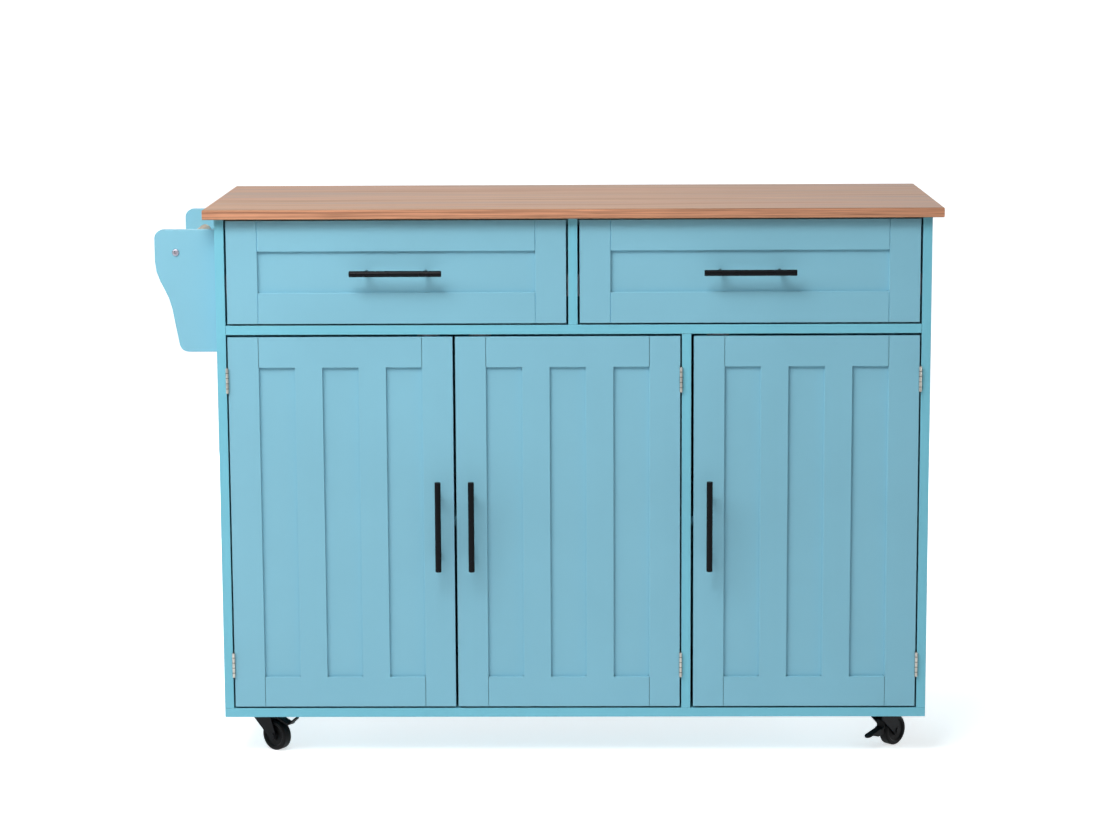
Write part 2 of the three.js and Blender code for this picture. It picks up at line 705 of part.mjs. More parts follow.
// The fixed member: a lipped channel screwed to the board, open towards the drawer. Its back is
// at x = 0, and side is +1 where it opens to +x.
function runnerChannel(side) {
  const high = RUNNER_HEIGHT / 2;
  const outline = new THREE.Shape([
    new THREE.Vector2(0, -high),
    new THREE.Vector2(RUNNER_CHANNEL, -high),
    new THREE.Vector2(RUNNER_CHANNEL, -high + RUNNER_SHEET + RUNNER_LIP),
    new THREE.Vector2(RUNNER_CHANNEL - RUNNER_SHEET, -high + RUNNER_SHEET + RUNNER_LIP),
    new THREE.Vector2(RUNNER_CHANNEL - RUNNER_SHEET, -high + RUNNER_SHEET),
    new THREE.Vector2(RUNNER_SHEET, -high + RUNNER_SHEET),
    new THREE.Vector2(RUNNER_SHEET, high - RUNNER_SHEET),
    new THREE.Vector2(RUNNER_CHANNEL - RUNNER_SHEET, high - RUNNER_SHEET),
    new THREE.Vector2(RUNNER_CHANNEL - RUNNER_SHEET, high - RUNNER_SHEET - RUNNER_LIP),
    new THREE.Vector2(RUNNER_CHANNEL, high - RUNNER_SHEET - RUNNER_LIP),
    new THREE.Vector2(RUNNER_CHANNEL, high),
    new THREE.Vector2(0, high),
  ]);
  const channel = extrude(outline, "y", RUNNER_Y, RUNNER_END_Y);
  if (side < 0) channel.rotateZ(Math.PI).translate(0, RUNNER_Y + RUNNER_END_Y, 0);
  return channel.translate(side * SEAM, 0, RUNNER_Z + RUNNER_HEIGHT / 2);
}

function drawerBottom() {
  const tuck = GROOVE_DEPTH - GROOVE_PLAY;
  const half = DRAWER_BOX_WIDTH / 2 - DRAWER_BOARD + tuck;
  return box(
    [-half, half],
    [FRONT_THICKNESS - tuck, DRAWER_BOX_Y + DRAWER_BOX_DEPTH - DRAWER_BOARD + tuck],
    [DRAWER_BOTTOM_Z, DRAWER_BOTTOM_Z + DRAWER_BOTTOM_THICKNESS],
  );
}

// The drawer front, grooved at the back for the bottom sheet.
function drawerFront() {
  const front = framedFront(DRAWER_FRONT_WIDTH, DRAWER_FRONT_HEIGHT, 0);
  front.translate(-DRAWER_FRONT_WIDTH / 2, 0, DRAWER_BAY_Z + BAY_GAP);
  const half = DRAWER_BOX_WIDTH / 2 - DRAWER_BOARD + GROOVE_DEPTH;
  const groove = box(
    [-half, half],
    [FRONT_THICKNESS - GROOVE_DEPTH, 2 * FRONT_THICKNESS],
    [DRAWER_BOTTOM_Z - SEAM, DRAWER_BOTTOM_Z + DRAWER_BOTTOM_THICKNESS + SEAM],
  );
  return cut(front, [groove]);
}

function buildDrawer(name, side) {
  const drawer = group((side * (BOARD + DRAWER_BAY_WIDTH)) / 2, 0, 0);
  place(`drawer_front_${name}`, drawerFront(), PAINT, drawer);
  place(`drawer_box_${name}`, drawerBox(), WHITE_BOARD, drawer);
  place(`drawer_bottom_${name}`, drawerBottom(), WHITE_BOARD, drawer);
  const middle = DRAWER_BAY_Z + DRAWER_BAY_HEIGHT / 2;
  const pull = group(0, RECESS_DEPTH, middle, drawer); // it stands on the sunk panel
  place(`drawer_pull_${name}`, barPull("x"), BLACK_METAL, pull);
  const half = DRAWER_BAY_WIDTH / 2;
  const boards = { left: -1, right: 1 };
  for (const [end, at] of Object.entries(boards)) {
    const fixed = group(at * half, 0, 0, drawer);
    place(`runner_${name}_drawer_${end}`, runnerChannel(-at), STEEL, fixed);
  }
}

// ---------------------------------------------------------------- towel rack

// A bracket's outline with its root on the side panel at x = 0 and its top edge at y = 0. The
// outer edge falls straight from a rounded corner, draws in by an ogee, and tapers to a rounded
// foot.
function bracketShape() {
  const corner = BRACKET_CORNER;
  const foot = -BRACKET_HEIGHT;
  const taper =
    (BRACKET_WAIST_WIDTH - BRACKET_FOOT_WIDTH) / (BRACKET_HEIGHT - BRACKET_WAIST);
  const shape = new THREE.Shape();
  shape.moveTo(0, foot);
  shape.lineTo(0, 0);
  shape.lineTo(-BRACKET_TOP_WIDTH + corner, 0);
  shape.absarc(-BRACKET_TOP_WIDTH + corner, -corner, corner, Math.PI / 2, Math.PI);
  shape.lineTo(-BRACKET_TOP_WIDTH, -BRACKET_SHOULDER);
  shape.bezierCurveTo(
    -BRACKET_TOP_WIDTH,
    -BRACKET_SHOULDER - OGEE_PULL,
    -BRACKET_WAIST_WIDTH - taper * OGEE_PULL,
    -BRACKET_WAIST + OGEE_PULL,
    -BRACKET_WAIST_WIDTH,
    -BRACKET_WAIST,
  );
  const cornerX = -BRACKET_FOOT_WIDTH - taper * corner;
  shape.lineTo(cornerX, foot + corner);
  shape.quadraticCurveTo(-BRACKET_FOOT_WIDTH, foot, -BRACKET_FOOT_WIDTH + corner, foot);
  return shape;
}

function buildTowelRack() {
  const rack = group(-HALF_WIDTH - SEAM, 0, BRACKET_TOP_Z);
  const front = [BRACKET_FRONT_SETBACK, BRACKET_FRONT_SETBACK + BRACKET_THICKNESS];
  const rearY = CARCASS_DEPTH - BRACKET_REAR_SETBACK;
  const rear = [rearY - BRACKET_THICKNESS, rearY];
  const outline = bracketShape();
  place("towel_bracket_front", extrude(outline, "y", ...front), PAINT, rack);
  place("towel_bracket_rear", extrude(outline, "y", ...rear), PAINT, rack);
  const centre = [-TOWEL_RAIL_REACH, -TOWEL_RAIL_DROP];
  const from = front[1] + SEAM;
  const to = rear[0] - SEAM;
  const rail = bar("y", from, to, TOWEL_RAIL_RADIUS, centre, ROUND_SIDES);
  place("towel_rail", rail, BEECH, rack);
}

// ---------------------------------------------------------------- casters

// The fixed top: a screw plate, the ball race under it and the kingpin with its riveted end.
function casterPlate() {
  const outline = roundedRectangle(PLATE_SIZE, PLATE_SIZE, PLATE_CORNER);
  const reach = PLATE_SIZE / 2 - PLATE_HOLE_INSET;
  for (const [x, y] of [
    [-reach, -reach],
    [reach, -reach],
    [reach, reach],
    [-reach, reach],
  ]) {
    const hole = new THREE.Path();
    hole.absarc(x, y, PLATE_HOLE_RADIUS, 0, 2 * Math.PI);
    outline.holes.push(hole);
  }
  const plate = extrude(outline, "z", -PLATE_THICKNESS - SEAM, -SEAM);
  const headTop = KINGPIN_FOOT_Z + KINGPIN_HEAD;
  const profile = [
    new THREE.Vector2(0, KINGPIN_FOOT_Z),
    new THREE.Vector2(KINGPIN_RADIUS + KINGPIN_HEAD, KINGPIN_FOOT_Z),
    new THREE.Vector2(KINGPIN_RADIUS + KINGPIN_HEAD, headTop),
    new THREE.Vector2(KINGPIN_RADIUS, headTop),
    new THREE.Vector2(KINGPIN_RADIUS, RACE_FOOT_Z),
    new THREE.Vector2(RACE_RADIUS - RACE_HEIGHT / 2, RACE_FOOT_Z),
    new THREE.Vector2(RACE_RADIUS, RACE_FOOT_Z + RACE_HEIGHT / 2),
    new THREE.Vector2(RACE_RADIUS, -PLATE_THICKNESS),
    new THREE.Vector2(0, -PLATE_THICKNESS),
  ];
  const race = new THREE.LatheGeometry(profile, SMALL_SIDES).rotateX(Math.PI / 2);
  return join([plate, race]);
}

// One cheek of the fork: wide under the crown, leaning back to a rounded eye at the axle.
function cheekShape() {
  const half = FORK_LENGTH / 2;
  const shape = new THREE.Shape();
  shape.moveTo(-half, FORK_TOP_Z);
  shape.lineTo(-half, FORK_UNDER_Z - FORK_CORNER);
  const [from, to] = FORK_EYE_ARC.map(THREE.MathUtils.degToRad);
  shape.absarc(CASTER_TRAIL, AXLE_Z, FORK_EYE_RADIUS, from, to);
  shape.lineTo(half, FORK_TOP_Z);
  return shape;
}

// Where the brake turns, in the caster's own (trail, z) plane.
function brakePivot() {
  const reach = TREAD_REACH + RUNNING + BRAKE_BOSS_RADIUS;
  const angle = THREE.MathUtils.degToRad(BRAKE_PIVOT_ANGLE);
  return [CASTER_TRAIL + reach * Math.cos(angle), AXLE_Z + reach * Math.sin(angle)];
}

// The swivelling fork: crown, two cheeks, the riveted axle and, on a braked caster, the brake's
// cross pin.
function casterFork(brake) {
  const crown = roundedRectangle(FORK_LENGTH, 2 * CHEEK_OUTER, FORK_CORNER);
  const bore = new THREE.Path();
  bore.absarc(0, 0, KINGPIN_RADIUS + RUNNING, 0, 2 * Math.PI);
  crown.holes.push(bore);
  const pieces = [extrude(crown, "z", FORK_UNDER_Z, FORK_TOP_Z)];
  const cheek = cheekShape();
  pieces.push(extrude(cheek, "y", CHEEK_INNER, CHEEK_OUTER));
  pieces.push(extrude(cheek, "y", -CHEEK_OUTER, -CHEEK_INNER));
  const axle = [CASTER_TRAIL, AXLE_Z];
  pieces.push(bar("y", -CHEEK_OUTER, CHEEK_OUTER, AXLE_RADIUS, axle));
  const ends = [-1, 1];
  for (const end of ends) {
    const face = end * (CHEEK_OUTER - SEAM);
    const tip = end * (CHEEK_OUTER + RIVET_HEIGHT);
    const span = [Math.min(face, tip), Math.max(face, tip)];
    pieces.push(bar("y", ...span, RIVET_RADIUS, axle));
  }
  if (brake)
    pieces.push(bar("y", -CHEEK_OUTER, CHEEK_OUTER, BRAKE_PIN_RADIUS, brakePivot()));
  return join(pieces);
}

// A wheel with its axle on the origin along y: a tread with eased shoulders, dished sides and a
// hub. Its flats, not its corners, lie on the wheel's radius, so it stands on a flat.
function casterWheel() {
  const grow = 1 / Math.cos(Math.PI / WHEEL_SIDES);
  const half = WHEEL_WIDTH / 2;
  const hubHalf = CHEEK_INNER - RUNNING;
  const bore = (AXLE_RADIUS + RUNNING) * grow;
  const side = (end) => [
    [bore, end * hubHalf],
    [WHEEL_HUB_RADIUS, end * hubHalf],
    [WHEEL_HUB_RADIUS + HUB_DRAFT, end * (half - WHEEL_DISH)],
    [WHEEL_DISH_RADIUS, end * (half - WHEEL_DISH)],
    [WHEEL_DISH_RADIUS + WHEEL_DISH, end * half],
    [TREAD_REACH - WHEEL_SHOULDER, end * half],
    [TREAD_REACH, end * (half - WHEEL_SHOULDER)],
  ];
  const points = [...side(-1), ...side(1).reverse()];
  points.push(points[0]);
  const profile = points.map(([r, y]) => new THREE.Vector2(r, y));
  return new THREE.LatheGeometry(profile, WHEEL_SIDES).rotateY(Math.PI / WHEEL_SIDES);
}

// A tongue at an end of the brake's strap, from its last bend to a rounded tip.
function brakeTongue(bend, tip, width) {
  const half = width / 2;
  const way = tip.clone().sub(bend);
  const run = way.length() - half;
  const shape = new THREE.Shape();
  shape.moveTo(0, half);
  shape.lineTo(0, -half);
  shape.lineTo(run, -half);
  shape.absarc(run, 0, half, -Math.PI / 2, Math.PI / 2);
  const tongue = extrude(shape, "z", -BRAKE_STRAP / 2, BRAKE_STRAP / 2);
  return tongue.rotateY(-way.angle()).translate(bend.x, 0, bend.y);
}

// A pedal in front of the toe, with a flange under each side.
function brakePedal(toe, bend, tip, corners) {
  const half = BRAKE_NECK_WIDTH / 2;
  const shoulder = bend.clone().lerp(tip, BRAKE_SHOULDER);
  const flange = new THREE.Shape([bend, bend.clone().lerp(tip, FLANGE_REACH), ...corners]);
  const outer = BRAKE_PEDAL_WIDTH / 2;
  const inner = outer - FLANGE_THICKNESS;
  return [
    extrude(strapShape([toe, bend, shoulder], BRAKE_STRAP), "y", -half, half),
    brakeTongue(bend, tip, BRAKE_PEDAL_WIDTH),
    extrude(flange, "y", inner, outer),
    extrude(flange, "y", -outer, -inner),
  ];
}

// The brake: a rocker on the fork's cross pin, with a shoe ahead of the pin and a tab behind it.
// Pressing the tab lifts the shoe off the tread, and pressing the pedal, if there is one, sets it.
function brakeLever(withPedal) {
  const [s, z] = brakePivot();
  const toLine = (bends) => bends.map(([behind, above]) => new THREE.Vector2(s + behind, z + above));
  const [tab, tabBend, ...bends] = toLine(BRAKE_BENDS);
  const neck = [tabBend.clone().lerp(tab, BRAKE_SHOULDER), tabBend, ...bends];
  const half = BRAKE_NECK_WIDTH / 2;
  const [shoeRear, shoeFront] = BRAKE_SHOE_ARC.map(THREE.MathUtils.degToRad);
  const shoe = new THREE.Shape();
  shoe.moveTo(s - BRAKE_SHOE_ROOT[0], z);
  shoe.lineTo(s - BRAKE_SHOE_ROOT[1], z);
  shoe.absarc(CASTER_TRAIL, AXLE_Z, TREAD_REACH + RUNNING, shoeFront, shoeRear, true);
  const pieces = [
    extrude(strapShape(neck, BRAKE_STRAP), "y", -half, half),
    brakeTongue(tabBend, tab, BRAKE_TAB_WIDTH),
    bar("y", -half, half, BRAKE_BOSS_RADIUS, [s, z]),
    extrude(shoe, "y", -half, half),
  ];
  if (withPedal) {
    const toe = bends.at(-1);
    pieces.push(...brakePedal(toe, ...toLine(PEDAL_BENDS), toLine(FLANGE_CORNERS)));
  }
  return cut(join(pieces), [bar("y", -2 * half, 2 * half, BRAKE_PIN_RADIUS + RUNNING, [s, z])]);
}

function buildCaster({ name, side, end, heading, brake }) {
  const x = side * (HALF_WIDTH - CASTER_SIDE_INSET);
  const y = end === "front" ? CASTER_END_INSET : CARCASS_DEPTH - CASTER_END_INSET;
  const caster = group(x, y, 0);
  place(`caster_plate_${name}`, casterPlate(), BLACK_METAL, caster);
  const swivel = group(0, 0, 0, caster);
  swivel.rotation.z = THREE.MathUtils.degToRad(heading);
  place(`caster_fork_${name}`, casterFork(brake), BLACK_METAL, swivel);
  const axle = group(CASTER_TRAIL, 0, AXLE_Z, swivel);
  place(`caster_wheel_${name}`, casterWheel(), BLACK_PLASTIC, axle);
  if (brake)
    place(`caster_brake_${name}`, brakeLever(brake === "pedal"), BLACK_PLASTIC, swivel);
}

// ---------------------------------------------------------------- assembly

buildCarcass();
DOORS.forEach(buildDoor);
buildDrawer("left", -1);
buildDrawer("right", 1);
buildTowelRack();
CASTERS.forEach(buildCaster);

// The bounding box runs from the towel brackets to the worktop's right end, and from the pulls'
// bars to the worktop's rear edge.
const LOW_X = -HALF_WIDTH - SEAM - BRACKET_TOP_WIDTH;
const HIGH_X = HALF_WIDTH + WORKTOP_SIDE_OVERHANG;
const LOW_Y = -PULL_PROJECTION - PULL_RADIUS;
const HIGH_Y = CARCASS_DEPTH + WORKTOP_REAR_OVERHANG;
unit.position.set(-(LOW_X + HIGH_X) / 2, -(LOW_Y + HIGH_Y) / 2, -FLOOR_Z);

const kitchenIsland = new THREE.Group();
kitchenIsland.add(unit);

export default kitchenIsland;
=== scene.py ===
"""The looks of a kitchen island unit on casters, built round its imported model.

Metres, +Z up. The doors face -Y, the origin is on the floor under the middle of the unit, and a
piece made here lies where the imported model's own pieces say.
"""
import json
import math

import bmesh
import bpy
from mathutils import Matrix, Vector


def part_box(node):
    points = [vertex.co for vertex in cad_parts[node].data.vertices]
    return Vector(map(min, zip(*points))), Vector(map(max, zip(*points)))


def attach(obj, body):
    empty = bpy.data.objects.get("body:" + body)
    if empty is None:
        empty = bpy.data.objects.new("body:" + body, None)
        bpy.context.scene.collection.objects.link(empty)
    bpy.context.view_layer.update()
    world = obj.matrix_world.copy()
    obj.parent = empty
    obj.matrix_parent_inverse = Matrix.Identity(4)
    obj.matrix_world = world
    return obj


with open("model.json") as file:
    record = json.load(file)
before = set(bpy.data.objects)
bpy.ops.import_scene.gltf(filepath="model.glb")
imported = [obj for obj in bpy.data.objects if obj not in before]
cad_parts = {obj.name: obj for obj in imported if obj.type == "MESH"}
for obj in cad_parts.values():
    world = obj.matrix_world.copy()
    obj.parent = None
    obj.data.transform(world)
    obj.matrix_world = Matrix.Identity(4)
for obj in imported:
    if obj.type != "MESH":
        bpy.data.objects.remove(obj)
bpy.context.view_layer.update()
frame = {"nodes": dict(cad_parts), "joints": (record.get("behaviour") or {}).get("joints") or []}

MM = 0.001

# ---------------------------------------------------------------- sizes that the looks need

BOARD = 15 * MM  # thickness of the carcass boards
STILE = 50 * MM  # width of a front's stiles
RAIL = 50 * MM  # height of a front's rails
JOINT_LINE = 1.0 * MM  # width of the painted light laid along a drawer front's joint line
LEAF = 12 * MM  # width of a hinge leaf
LEAF_FACE = 0.225 * MM  # from a hinge's axis back to the face of each leaf
HINGE_KNUCKLES = 5
CATCH_INSET = 40 * MM  # from a door's free edge to its catch
PLATE_HOLE_REACH = 14.5 * MM  # from a caster's swivel axis to its plate's holes, along x and y
PLATE_THICKNESS = 2.5 * MM  # of a caster's plate
HINGE_SCREW_REACH = 12 * MM  # from a hinge leaf's middle up and down to its screws
STRIKE_HALF_WIDTH = 16 * MM
STRIKE_SPAN = (11.5 * MM, 1 * MM)  # from a door's top edge down to its strike plate's two ends
STRIKE_THICKNESS = 0.8 * MM

# Radius and height of the screw heads
RAIL_SCREW = (5.8 * MM, 2.6 * MM)
PLATE_SCREW = (3.2 * MM, 1.7 * MM)
HINGE_SCREW = (2.8 * MM, 0.14 * MM)
STRIKE_SCREW = (3.0 * MM, 0.3 * MM)

BOARD_EASE = 0.35 * MM  # rounding of the painted boards' edges
PAINT_ARRIS = 1.1 * MM  # how far the paint's own roundness shows beside an edge
WORKTOP_EASE = 0.5 * MM
METAL_EASE = 0.3 * MM
STRIKE_EASE = 0.25 * MM
SHARP_TURN = math.radians(38)  # an edge that turns by more is shaded sharp and eased
HAIR = 0.05 * MM  # how far a mask reaches past the face that it ends on

DOORS = ("left", "middle", "right")

# ---------------------------------------------------------------- colours, as linear light


def rgb(red, green, blue):
    """A colour given as it shows on a screen, from 0 to 255."""
    def linear(value):
        share = value / 255
        return share / 12.92 if share <= 0.04045 else ((share + 0.055) / 1.055) ** 2.4
    return (linear(red), linear(green), linear(blue), 1.0)


def shade(colour, factor):
    """The same colour, lighter or darker by a factor."""
    return tuple(channel * factor for channel in colour[:3]) + (1.0,)


FRONT_PAINT = rgb(132, 191, 211)
CARCASS_PAINT = rgb(120, 196, 216)
OAK_TOP = rgb(167, 124, 92)
OAK_EDGE = rgb(201, 144, 113)
BEECH = rgb(184, 168, 150)
WHITE_FOIL = rgb(226, 224, 217)
BLACK_COAT = rgb(6, 7, 11)
BLACK_NYLON = rgb(13, 13, 14)
NICKEL = rgb(196, 192, 184)
ZINC = rgb(178, 174, 186)
CATCH_WHITE = rgb(222, 220, 212)
FLOOR_WHITE = rgb(240, 240, 240)

# ---------------------------------------------------------------- camera

# Solved from the straight edges of the unit in the photograph
LENS = 95.9  # millimetres, on a sensor 36 mm wide
SENSOR_WIDTH = 36.0
CAMERA_PLACE = (0.0751, -4.9193, 1.3454)
CAMERA_YAW = math.radians(-0.861)
CAMERA_PITCH = math.radians(-9.22)
CAMERA_ROLL = math.radians(-0.293)


def make_camera():
    data = bpy.data.cameras.new("camera")
    data.lens = LENS
    data.sensor_width = SENSOR_WIDTH
    data.sensor_fit = "HORIZONTAL"
    camera = bpy.data.objects.new("camera", data)
    bpy.context.scene.collection.objects.link(camera)
    level = Matrix.Rotation(math.pi / 2, 4, "X")
    turn = Matrix.Rotation(-CAMERA_YAW, 4, "Z") @ Matrix.Rotation(CAMERA_PITCH, 4, "X")
    roll = Matrix.Rotation(CAMERA_ROLL, 4, "Z")
    camera.matrix_world = Matrix.Translation(CAMERA_PLACE) @ turn @ level @ roll
    bpy.context.scene.camera = camera


# ---------------------------------------------------------------- material graphs


class Surface:
    """A material with one Principled shader, and short calls that build its nodes. Scales are in
    cycles a metre, along the piece's own axes."""

    def __init__(self, name, **constants):
        self.material = bpy.data.materials.new(name)
        self.material.use_nodes = True
        self.tree = self.material.node_tree
        self.shader = self.tree.nodes["Principled BSDF"]
        self.place = self.add("ShaderNodeTexCoord").outputs["Object"]
        for socket, value in constants.items():
            self.shader.inputs[socket.replace("_", " ")].default_value = value

    def add(self, kind, **settings):
        node = self.tree.nodes.new(kind)
        for name, value in settings.items():
            setattr(node, name, value)
        return node

    def feed(self, socket, value):
        """Sets a socket from another node's output, or to a constant."""
        if isinstance(value, bpy.types.NodeSocket):
            self.tree.links.new(value, socket)
        else:
            socket.default_value = value

    def to(self, name, value):
        self.feed(self.shader.inputs[name], value)

    def colour(self):
        """What the shader's colour comes from so far."""
        return self.shader.inputs["Base Color"].links[0].from_socket

    def noise(self, scale, stretch=(1, 1, 1), detail=2.0, distortion=0.0, offset=(0, 0, 0)):
        mapping = self.add("ShaderNodeMapping")
        self.feed(mapping.inputs["Vector"], self.place)
        mapping.inputs["Scale"].default_value = [scale * s for s in stretch]
        mapping.inputs["Location"].default_value = offset
        node = self.add("ShaderNodeTexNoise")
        self.feed(node.inputs["Vector"], mapping.outputs["Vector"])
        node.inputs["Scale"].default_value = 1.0
        node.inputs["Detail"].default_value = detail
        node.inputs["Distortion"].default_value = distortion
        return node.outputs["Fac"]

    def remap(self, value, low, high, to_low, to_high):
        node = self.add("ShaderNodeMapRange")
        self.feed(node.inputs["Value"], value)
        for name, number in (
            ("From Min", low), ("From Max", high), ("To Min", to_low), ("To Max", to_high)
        ):
            node.inputs[name].default_value = number
        return node.outputs["Result"]

    def math(self, operation, first, second=0.0):
        node = self.add("ShaderNodeMath", operation=operation)
        self.feed(node.inputs[0], first)
        self.feed(node.inputs[1], second)
        return node.outputs["Value"]

    def ramp(self, value, *stops):
        """A colour from a value: each stop is (place, colour)."""
        node = self.add("ShaderNodeValToRGB")
        elements = node.color_ramp.elements
        while len(elements) < len(stops):
            elements.new(0.5)
        for element, (position, colour) in zip(elements, stops):
            element.position = position
            element.color = colour
        self.feed(node.inputs["Fac"], value)
        return node.outputs["Color"]

    def mix(self, factor, first, second, blend="MIX"):
        node = self.add("ShaderNodeMix", data_type="RGBA", blend_type=blend)
        self.feed(node.inputs["Factor"], factor)
        self.feed(node.inputs["A"], first)
        self.feed(node.inputs["B"], second)
        return node.outputs["Result"]

    def axis(self, index, of=None):
        node = self.add("ShaderNodeSeparateXYZ")
        self.feed(node.inputs["Vector"], of or self.place)
        return node.outputs[index]

    def edges(self, radius):
        """1 on a piece's edges and 0 on its flats."""
        bevel = self.add("ShaderNodeBevel", samples=4)
        bevel.inputs["Radius"].default_value = radius
        geometry = self.add("ShaderNodeNewGeometry")
        dot = self.add("ShaderNodeVectorMath", operation="DOT_PRODUCT")
        self.feed(dot.inputs[0], bevel.outputs["Normal"])
        self.feed(dot.inputs[1], geometry.outputs["Normal"])
        return self.remap(dot.outputs["Value"], 0.995, 0.9, 0.0, 1.0)

    def openness(self, reach):
        """0 deep in a gap and 1 in the open."""
        node = self.add("ShaderNodeAmbientOcclusion", samples=6)
        node.inputs["Distance"].default_value = reach
        return self.remap(node.outputs["AO"], 0.1, 0.45, 0.0, 1.0)

    def rounded(self, radius):
        """The normal as it would be with the piece's arrises rounded off."""
        bevel = self.add("ShaderNodeBevel", samples=6)
        bevel.inputs["Radius"].default_value = radius
        return bevel.outputs["Normal"]

    def bump(self, height, depth, normal=None):
        node = self.add("ShaderNodeBump")
        node.inputs["Distance"].default_value = depth
        self.feed(node.inputs["Height"], height)
        if normal:
            self.feed(node.inputs["Normal"], normal)
        self.to("Normal", node.outputs["Normal"])


# ---------------------------------------------------------------- paint


def paint_surface(name, colour, light_painted_joints=()):
    """Satin paint on board: faint clouds of tone, a fine orange peel, a painted highlight along its
    edges and painted shade deep in its gaps. Joint lines that are given, each by its x, by the
    middle and half height of the panel between its rails and by how light it is, are painted
    lighter, as painted light that takes out the shade of their grooves."""
    s = Surface(name, Specular_IOR_Level=0.45)
    cloud = s.noise(3.2, detail=3.0)
    tone = s.ramp(cloud, (0.3, shade(colour, 0.965)), (0.7, shade(colour, 1.03)))
    # Painted highlight: the paint is lighter along the edges, where the arris catches the light.
    tone = s.mix(s.math("MULTIPLY", s.edges(0.8 * MM), 0.45), tone, shade(colour, 1.25))
    # Painted shade: the colour goes nearly black deep in gaps and grooves, where shade falls.
    tone = s.mix(s.openness(6 * MM), shade(colour, 0.05), tone)
    # Painted light: each given joint line is painted lighter, to take out the shade of its groove.
    for x, middle, reach, lightness in light_painted_joints:
        beside = s.math("ABSOLUTE", s.math("SUBTRACT", s.axis(0), x))
        above = s.math("ABSOLUTE", s.math("SUBTRACT", s.axis(2), middle))
        on_line = s.math("LESS_THAN", beside, JOINT_LINE / 2)
        on_rail = s.math("GREATER_THAN", above, reach)
        tone = s.mix(s.math("MULTIPLY", on_line, on_rail), tone, shade(colour, lightness))
    s.to("Base Color", tone)
    s.to("Roughness", s.remap(s.noise(22.0, detail=3.0), 0.3, 0.7, 0.40, 0.52))
    peel = s.noise(520.0, detail=1.0)
    fibre = s.noise(1.0, stretch=(190, 190, 14), detail=2.0)
    height = s.math("ADD", s.math("MULTIPLY", fibre, 0.8), peel)
    s.bump(height, 0.035 * MM, s.rounded(PAINT_ARRIS))
    return s


def fitted_board_surface(name, colour, is_board, metal_part=None):
    """Painted board with fittings fused to it: is_board and metal_part are functions that give a
    mask from the surface. Without metal_part the fittings are all metal."""
    s = paint_surface(name, colour)
    board = is_board(s)
    metal = s.math("SUBTRACT", 1.0, board)
    fitting = ZINC
    if metal_part:
        part = metal_part(s)
        fitting = s.mix(part, CATCH_WHITE, ZINC)
        metal = s.math("MULTIPLY", part, metal)
    s.to("Base Color", s.mix(board, fitting, s.colour()))
    s.to("Metallic", metal)
    return s.material


# ---------------------------------------------------------------- wood


def worktop_surface():
    """Foiled wood with a long fine grain: a pinkish brown top, and warmer bands on the edges with
    stronger dark streaks."""
    s = Surface("worktop_wood", Specular_IOR_Level=0.15)
    broad = s.noise(1.0, stretch=(1.3, 30, 30), detail=6.0, distortion=0.3)
    top = s.ramp(
        broad,
        (0.36, shade(OAK_TOP, 0.66)),
        (0.45, shade(OAK_TOP, 0.92)),
        (0.53, shade(OAK_TOP, 1.14)),
        (0.64, shade(OAK_TOP, 0.86)),
    )
    blush = s.noise(1.0, stretch=(0.8, 9, 9), detail=2.0, offset=(5.2, 1.1, 0))
    top = s.mix(s.remap(blush, 0.45, 0.6, 0.0, 0.6), top, (1.0, 0.93, 0.95, 1.0), "MULTIPLY")
    fine = s.noise(1.0, stretch=(4, 260, 260), detail=3.0, distortion=0.2)
    top = s.mix(s.remap(fine, 0.36, 0.6, 0.36, 0.0), top, shade(OAK_TOP, 0.5))
    band = s.noise(1.0, stretch=(5, 5, 330), detail=4.0, distortion=0.5, offset=(3.1, 0, 1.7))
    edge = s.ramp(
        band,
        (0.30, shade(OAK_EDGE, 0.54)),
        (0.41, shade(OAK_EDGE, 0.80)),
        (0.52, shade(OAK_EDGE, 1.03)),
        (0.66, shade(OAK_EDGE, 1.28)),
    )
    thread = s.noise(1.0, stretch=(9, 9, 700), detail=3.0, offset=(7.3, 0, 0.4))
    edge = s.mix(s.remap(thread, 0.36, 0.5, 0.5, 0.0), edge, shade(OAK_EDGE, 0.5))
    worktop_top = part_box("worktop")[1].z
    depth = s.math("ABSOLUTE", s.math("SUBTRACT", s.axis(2), worktop_top - 4.6 * MM))
    drift = s.math("MULTIPLY", s.noise(3.0, detail=2.0, offset=(0.7, 0, 0)), 2.2 * MM)
    seam = s.remap(s.math("SUBTRACT", depth, drift), -0.9 * MM, 0.3 * MM, 0.55, 0.0)
    edge = s.mix(seam, edge, shade(OAK_EDGE, 0.58))
    geometry = s.add("ShaderNodeNewGeometry")
    upright = s.math("ABSOLUTE", s.axis(2, geometry.outputs["Normal"]))
    s.to("Base Color", s.mix(s.remap(upright, 0.3, 0.5, 0.0, 1.0), edge, top))
    s.to("Roughness", s.remap(broad, 0.3, 0.7, 0.34, 0.46))
    s.bump(s.math("ADD", fine, s.math("MULTIPLY", thread, 0.5)), 0.06 * MM)
    return s.material


def rail_surface():
    """Turned beech, with its grain along the rail."""
    s = Surface("rail_wood", Specular_IOR_Level=0.35)
    grain = s.noise(1.0, stretch=(170, 7, 170), detail=4.0, distortion=0.4)
    tone = s.ramp(grain, (0.3, shade(BEECH, 0.72)), (0.5, BEECH), (0.75, shade(BEECH, 1.15)))
    s.to("Base Color", tone)
    s.to("Roughness", s.remap(grain, 0.3, 0.7, 0.62, 0.5))
    s.bump(grain, 0.08 * MM)
    return s.material


